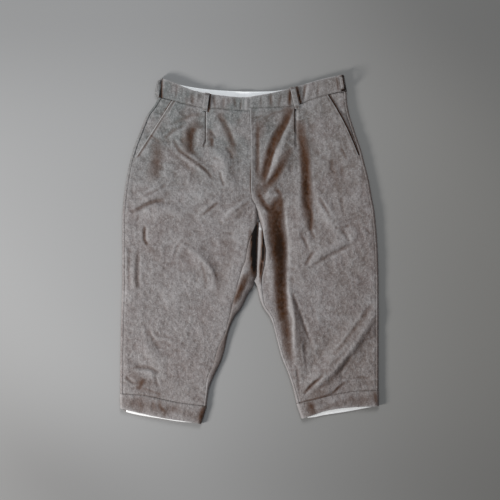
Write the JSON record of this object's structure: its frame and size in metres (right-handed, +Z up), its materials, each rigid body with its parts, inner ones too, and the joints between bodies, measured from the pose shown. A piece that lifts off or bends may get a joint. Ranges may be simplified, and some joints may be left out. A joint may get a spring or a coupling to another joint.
{
  "type": "knee breeches",
  "caption": "Knee breeches laid flat, with pleated fronts, a closed fly, slant pockets, a waistband with belt loops and banded knee hems.",
  "frame": {"origin": "centre of the footprint on the surface the breeches lie on", "axes": "+Y from the knees to the waist, +Z up off the surface, +X toward the wearer's left leg"},
  "size_m": [0.5816, 0.7825, 0.0245],
  "materials": {
    "moleskin": "brushed grey-brown cotton moleskin, worn paler on ridges and seam edges",
    "cotton": "plain white cotton"
  },
  "bodies": {
    "root": {"front_right": "moleskin", "front_left": "moleskin", "back_right": "moleskin", "back_left": "moleskin", "waistband_right": "moleskin", "waistband_left": "moleskin", "waist_lining": "cotton", "fly_underlap": "moleskin", "pocket_facing_right": "moleskin", "pocket_facing_left": "moleskin", "belt_loop_front_right": "moleskin", "belt_loop_front_left": "moleskin", "belt_loop_side_right": "moleskin", "belt_loop_side_left": "moleskin", "belt_loop_back": "moleskin", "cuff_right": "moleskin", "cuff_left": "moleskin", "cuff_facing_right": "cotton", "cuff_facing_left": "cotton"}
  },
  "joints": []
}
